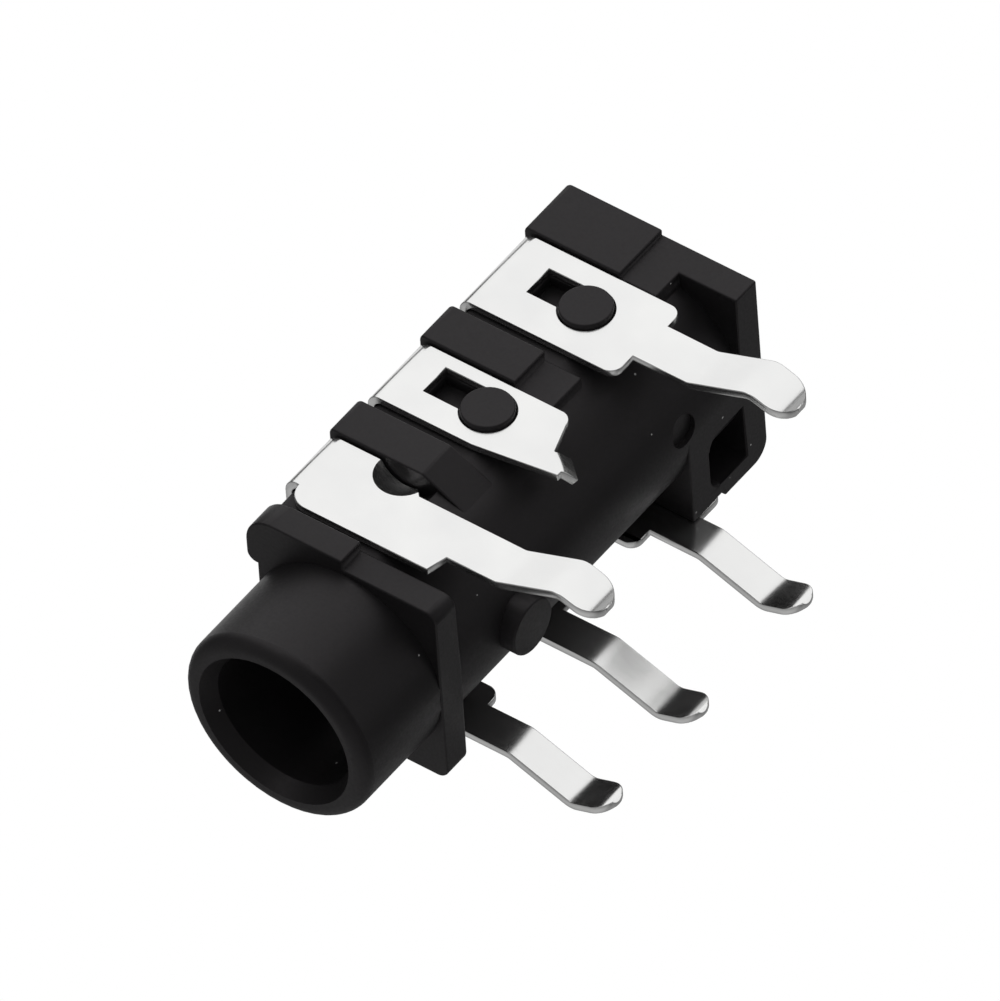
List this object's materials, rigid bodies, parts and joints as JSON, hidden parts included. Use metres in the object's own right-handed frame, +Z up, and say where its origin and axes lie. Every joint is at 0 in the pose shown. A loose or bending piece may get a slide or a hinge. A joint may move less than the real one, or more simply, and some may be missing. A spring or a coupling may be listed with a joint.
{
  "type": "audio jack socket",
  "caption": "Board-mounted stereo jack socket: a black moulded housing with a round nose and plug bore, and tinned strap contacts with springs in the bore and bowed solder pins.",
  "frame": {"origin": "on the plug axis, in the plane of the flange's front face", "axes": "+Z up from the board, +Y from the flange's front face to the rear, +X towards the sleeve and tip terminals"},
  "size_m": [0.0068, 0.0147, 0.0084],
  "materials": {
    "black_plastic": "satin moulded",
    "tinned_strip": "bright tin plate"
  },
  "bodies": {
    "root": {"housing": "black_plastic", "sleeve_contact": "tinned_strip", "ring_contact": "tinned_strip", "tip_contact": "tinned_strip", "ring_switch_contact": "tinned_strip", "tip_switch_contact": "tinned_strip"}
  },
  "joints": []
}
